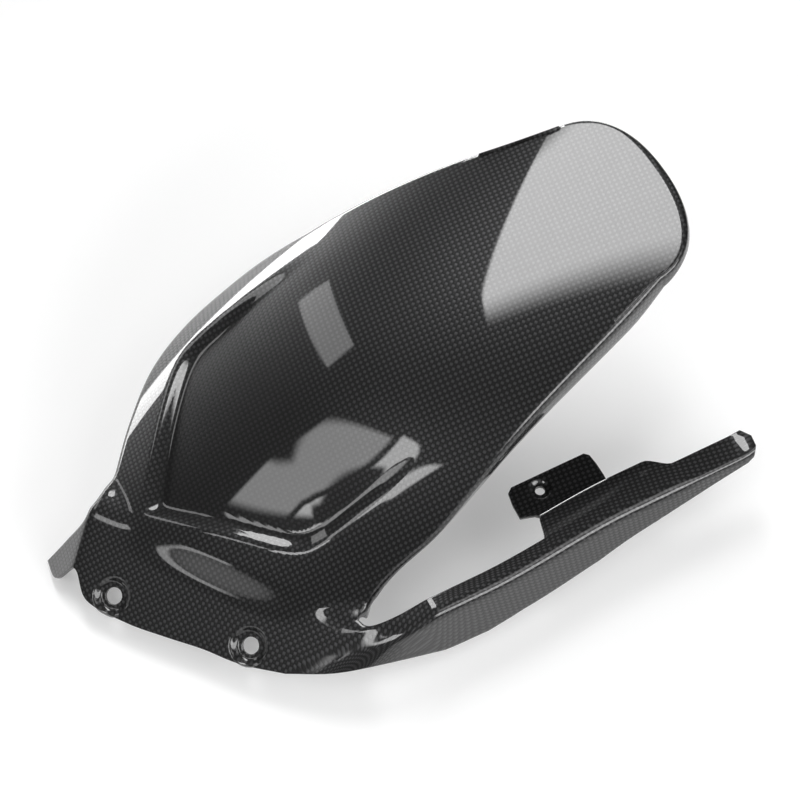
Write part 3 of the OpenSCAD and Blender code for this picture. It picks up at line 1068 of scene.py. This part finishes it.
    def build(self, finishes: list[bpy.types.Material]) -> bpy.types.Object:
        """Makes the moulded skin.

        Args:
            finishes: The materials of the outer face, the inner face and the trimmed edge.

        Returns:
            The finished object.
        """
        self._fender_patch()
        self._guard_patch()
        bm = self._sheet()
        self._open_holes(bm)
        points, cloth, faces, kinds = self._thicken(bm)
        bm.free()
        places = self.frame.places(points, self.origin)
        mesh = bpy.data.meshes.new("moulded_skin")
        mesh.from_pydata(places.tolist(), [], [f[::-1] for f in faces])
        layer = mesh.uv_layers.new(name=CLOTH_MAP)
        tows = self.cloth.turned(cloth) / 1000.0
        index = np.empty(len(mesh.loops), dtype=np.int32)
        mesh.loops.foreach_get("vertex_index", index)
        layer.data.foreach_set("uv", tows[index].astype(np.float32).ravel())
        # Painted shade: the recess depth goes into a second UV layer, which the cloth material uses to
        # darken the recessed panel where shade falls.
        recess_shade_share = self.fender.recess(points[:, 0], points[:, 1]) / self.fender.recess_depth
        shade_layer = mesh.uv_layers.new(name=RECESS_SHADE_MAP)
        shade_layer.data.foreach_set("uv", np.repeat(recess_shade_share[index], 2).astype(np.float32))
        mesh.polygons.foreach_set("material_index", np.array(kinds, dtype=np.int32))
        mesh.polygons.foreach_set("use_smooth", np.ones(len(faces), dtype=bool))
        for finish in finishes:
            mesh.materials.append(finish)
        mesh.validate()
        mesh.update()
        triangles = sum(len(f) - 2 for f in faces)
        LOG.info("moulded_skin: %d points, %d triangles", len(places), triangles)
        return new_object("moulded_skin", mesh)


class Nodes:
    """A short way to write a node tree."""

    def __init__(self, tree: bpy.types.NodeTree) -> None:
        """Keeps the tree that the nodes go into.

        Args:
            tree: The node tree.
        """
        self.tree = tree

    def feed(self, node: bpy.types.Node, values: dict[int | str, object]) -> None:
        """Links a node's inputs, or sets their values.

        Args:
            node: The node.
            values: An output of another node, or a plain value, for each input.
        """
        for key, value in values.items():
            if isinstance(value, Socket):
                self.tree.links.new(value, node.inputs[key])
            else:
                node.inputs[key].default_value = value

    def add(self, kind: str, values: dict[int | str, object] | None = None,
            **settings: object) -> bpy.types.Node:
        """Adds a shader node.

        Args:
            kind: The node's kind, without the prefix that all of them share.
            values: What goes into its inputs.
            settings: The node's own settings.

        Returns:
            The node.
        """
        node = self.tree.nodes.new("ShaderNode" + kind)
        for name, value in settings.items():
            setattr(node, name, value)
        self.feed(node, values or {})
        return node

    def math(self, operation: str, *feeds: object, clamp: bool = False) -> Socket:
        """Adds a math node.

        Args:
            operation: What it works out.
            feeds: What goes into its inputs, in order.
            clamp: Whether the result is kept from 0 to 1.

        Returns:
            Its result.
        """
        values = dict(enumerate(feeds))
        return self.add("Math", values, operation=operation, use_clamp=clamp).outputs[0]

    def parts(self, vector: Socket) -> bpy.types.bpy_prop_collection:
        """The three coordinates of a vector."""
        return self.add("SeparateXYZ", {0: vector}).outputs

    def layer(self, name: str) -> bpy.types.bpy_prop_collection:
        """The coordinates of a UV layer."""
        return self.parts(self.add("UVMap", uv_map=name).outputs[0])


def new_material(name: str) -> tuple[bpy.types.Material, Nodes]:
    """Starts an empty material.

    Args:
        name: The material's name.

    Returns:
        The material and its nodes.
    """
    material = bpy.data.materials.new(name)
    material.use_nodes = True
    material.node_tree.nodes.clear()
    return material, Nodes(material.node_tree)


@dataclass(frozen=True)
class CarbonFinish:
    """Plain-weave carbon cloth under a clear coat, with painted shade that darkens the recessed panel."""

    name: str
    tow: float = 0.0021
    weft_share: float = 0.15
    # How strongly the painted shade darkens the recessed panel.
    recess_shade_strength: float = 0.68
    dark: float = 0.002
    light: float = 0.054
    roughness: float = 0.45
    relief: float = 0.00010
    coat: float = 1.0
    coat_roughness: float = 0.025
    metallic: float = 0.7
    crimp: float = 2.6
    tow_flatness: float = 4.0
    strand_lines: float = 50.0
    strand_depth: float = 0.10
    bump: float = 0.8
    blue: tuple[float, float] = (1.05, 1.03)

    def material(self) -> bpy.types.Material:
        """Builds the material: two sets of tows that pass over and under each other, darkened by painted
        shade in the recessed panel.

        Returns:
            The material.
        """
        material, n = new_material(self.name)
        x, y = (n.math("DIVIDE", run, self.tow) for run in n.layer(CLOTH_MAP)[:2])
        over = n.math("PINGPONG", n.math("ADD", n.math("FLOOR", x), n.math("FLOOR", y)), 1.0)
        fx, fy = (n.math("SUBTRACT", n.math("FRACT", v), 0.5) for v in (x, y))
        across, along = self._pick(n, over, fx, fy), self._pick(n, over, fy, fx)
        edge = n.math("MULTIPLY", n.math("ABSOLUTE", across), 2.0)
        round_off = n.math("SUBTRACT", 1.0, n.math("POWER", edge, self.tow_flatness))
        height = n.math("MULTIPLY", round_off, n.math("COSINE", n.math("MULTIPLY", along, self.crimp)))
        strand = n.math("SINE", n.math("MULTIPLY", across, self.strand_lines))
        depth = self.strand_depth
        tone = n.math("MULTIPLY", height, n.math("MULTIPLY_ADD", strand, depth, 1.0 - depth))
        weft = n.math("MULTIPLY_ADD", over, self.weft_share - 1.0, 1.0)
        # Painted shade: the cloth's colour is darkened by the recess depth, standing in for the shade in
        # the recessed panel.
        clear = n.math("MULTIPLY_ADD", n.layer(RECESS_SHADE_MAP)[0], -self.recess_shade_strength, 1.0, clamp=True)
        share = n.math("MULTIPLY", n.math("MULTIPLY", tone, weft), clear, clamp=True)
        dark, light = ((v, v, v * tint, 1) for v, tint in zip((self.dark, self.light), self.blue))
        mix = n.add("Mix", {0: share, 6: dark, 7: light}, data_type="RGBA")
        bump = n.add("Bump", {"Strength": self.bump, "Distance": self.relief, "Height": height})
        shader = n.add("BsdfPrincipled", {
            "Base Color": mix.outputs[2], "Metallic": self.metallic, "Roughness": self.roughness,
            "Coat Weight": self.coat, "Coat Roughness": self.coat_roughness, "Coat IOR": 1.5,
            "Normal": bump.outputs[0],
        })
        n.add("OutputMaterial", {"Surface": shader.outputs[0]})
        return material

    @staticmethod
    def _pick(n: Nodes, over: Socket, a: Socket, b: Socket) -> Socket:
        """The value a where over is 0 and b where it is 1."""
        return n.add("Mix", {0: over, 2: a, 3: b}).outputs[0]


@dataclass(frozen=True)
class TrimFinish:
    """The trimmed and sealed edge of the laminate."""

    name: str = "trimmed_edge"
    tone: float = 0.012
    roughness: float = 0.4
    coat_roughness: float = 0.08

    def material(self) -> bpy.types.Material:
        """Builds the material.

        Returns:
            The material.
        """
        material, n = new_material(self.name)
        shader = n.add("BsdfPrincipled", {
            "Base Color": (self.tone, self.tone, self.tone, 1), "Roughness": self.roughness,
            "Coat Weight": 1.0, "Coat Roughness": self.coat_roughness,
        })
        n.add("OutputMaterial", {"Surface": shader.outputs[0]})
        return material


@dataclass(frozen=True)
class SoftBox:
    """A rectangular studio lamp whose face may dim toward its edges."""

    name: str
    centre: tuple[float, float, float]
    way: tuple[float, float, float]
    size: tuple[float, float]
    radiance: float
    spin: float = 0.0
    fade: tuple[float, float] = (0.04, 0.04)

    def build(self) -> bpy.types.Object:
        """Hangs the lamp.

        Returns:
            The lamp.
        """
        data = bpy.data.lights.new(self.name, "AREA")
        data.shape = "RECTANGLE"
        data.size, data.size_y = self.size
        data.energy = self.radiance * math.pi * self.size[0] * self.size[1]
        data.use_nodes = True
        n = Nodes(data.node_tree)
        face = n.parts(n.add("NewGeometry").outputs["Parametric"])
        fades = []
        for k, share in enumerate(self.fade):
            near = n.math("PINGPONG", face[k], 0.5)
            dim = n.add("MapRange", {"Value": near, "From Max": share}, interpolation_type="SMOOTHSTEP")
            fades.append(dim.outputs[0])
        n.feed(n.tree.nodes["Emission"], {"Strength": n.math("MULTIPLY", *fades)})
        obj = new_object(self.name, data)
        turn = Vector(self.way).to_track_quat("-Z", "Y").to_matrix()
        turn = turn @ Matrix.Rotation(math.radians(self.spin), 3, "Z")
        obj.matrix_world = Matrix.Translation(self.centre) @ turn.to_4x4()
        return obj


@dataclass
class Studio:
    """The pale floor, the soft lamps and the dim room round them."""

    floor_tone: float = 0.72
    floor_glow: float = 0.30
    room: float = 0.10
    half: float = 6.0
    boxes: tuple[SoftBox, ...] = (
        SoftBox("overhead_box", (-0.38, -1.02, 1.6), (0, 0, -1), (0.45, 1.65), 10.5, -15.7, (0.03, 0.2)),
        SoftBox("side_box", (0.60, -1.26, 0.93), (-0.45, 0.8, -0.5), (0.34, 1.10), 2.9, -45.0,
                (0.08, 0.06)),
        SoftBox("panel_box", (0.332, -0.016, 0.454), (-0.72, -0.03, -0.69), (0.29, 0.135), 4.4, 14.6,
                (0.08, 0.2)),
        SoftBox("root_box", (0.262, 0.252, 0.516), (-0.72, -0.03, -0.69), (0.26, 0.16), 8.0, 14.6,
                (0.06, 0.15)),
        SoftBox("ridge_box", (-0.613, 1.097, 0.719), (0.318, -0.786, -0.53), (1.3, 0.62), 7.0, 0.0,
                (0.2, 0.12)),
        SoftBox("ridge_fill", (-0.63, 0.506, 1.178), (0.332, -0.332, -0.883), (1.0, 0.55), 2.5, 0.0,
                (0.3, 0.3)),
        SoftBox("ramp_box", (1.0, 0.18, 0.09), (-1, 0, 0), (0.4, 0.2), 4.0, 0.0, (0.2, 0.3)),
        SoftBox("rim_box", (-0.1, -0.645, 0.035), (0, 0.307, 0.952), (1.5, 0.25), 10.0, 0.0, (0.1, 0.1)),
    )

    def build(self, floor_z: float) -> None:
        """Sets up the studio.

        Args:
            floor_z: Height of the floor.
        """
        self._floor(floor_z)
        for box in self.boxes:
            box.build()
            LOG.info("%s hung", box.name)
        world = bpy.data.worlds.new("room")
        bpy.context.scene.world = world
        world.use_nodes = True
        nodes = Nodes(world.node_tree)
        nodes.feed(nodes.tree.nodes["Background"], {"Color": (1, 1, 1, 1), "Strength": self.room})
        bpy.context.scene.view_settings.view_transform = "Standard"

    def _floor(self, z: float) -> None:
        """Lays the floor.

        Args:
            z: Height of the floor.
        """
        mesh = bpy.data.meshes.new("floor")
        h = self.half
        mesh.from_pydata([(-h, -h, z), (h, -h, z), (h, h, z), (-h, h, z)], [], [(0, 1, 2, 3)])
        floor = new_object("floor", mesh)
        material, n = new_material("pale_floor")
        paper = n.add("BsdfDiffuse", {0: (self.floor_tone,) * 3 + (1,)})
        ray = n.add("LightPath").outputs
        seen = n.math("ADD", n.math("ADD", ray["Is Camera Ray"], ray["Is Glossy Ray"]),
                      ray["Is Transmission Ray"], clamp=True)
        glow = n.add("Emission", {"Strength": n.math("MULTIPLY", seen, self.floor_glow)})
        both = n.add("AddShader", {0: paper.outputs[0], 1: glow.outputs[0]})
        n.add("OutputMaterial", {"Surface": both.outputs[0]})
        mesh.materials.append(material)
        floor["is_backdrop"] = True


@dataclass(frozen=True)
class PhotoCamera:
    """The camera at the photograph's viewing angle."""

    place: tuple[float, float, float] = (0.22985, 0.71209, 1.35244)
    right: tuple[float, float, float] = (-0.883685, 0.467790, -0.016543)
    up: tuple[float, float, float] = (-0.394241, -0.724763, 0.565059)
    lens: float = 125.5
    film: float = 36.0
    shift: tuple[float, float] = (0.02825, -0.0824)

    def build(self) -> None:
        """Sets the scene's camera."""
        data = bpy.data.cameras.new("photo_camera")
        data.lens, data.sensor_width = self.lens, self.film
        data.shift_x, data.shift_y = self.shift
        obj = new_object("photo_camera", data)
        right, up = Vector(self.right).normalized(), Vector(self.up).normalized()
        turn = Matrix((right, up, right.cross(up))).transposed()
        obj.matrix_world = Matrix.Translation(self.place) @ turn.to_4x4()
        bpy.context.scene.camera = obj


def main() -> None:
    """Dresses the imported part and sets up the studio."""
    logging.basicConfig(level=logging.INFO)
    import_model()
    cad_box = [list(c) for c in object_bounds()]
    PhotoCamera().build()
    outer = CarbonFinish("clear_coated_cloth").material()
    inner = CarbonFinish("inner_cloth", coat=0.3, coat_roughness=0.3, roughness=0.5).material()
    laminate = Laminate(FenderForm(), GuardForm(), RolledEdge(), FittedFrame())
    skin = laminate.build([outer, inner, TrimFinish().material()])
    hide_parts(NODE)
    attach(skin, BODY)
    Studio().build(cad_box[0][2])


if __name__ == "__main__":
    main()
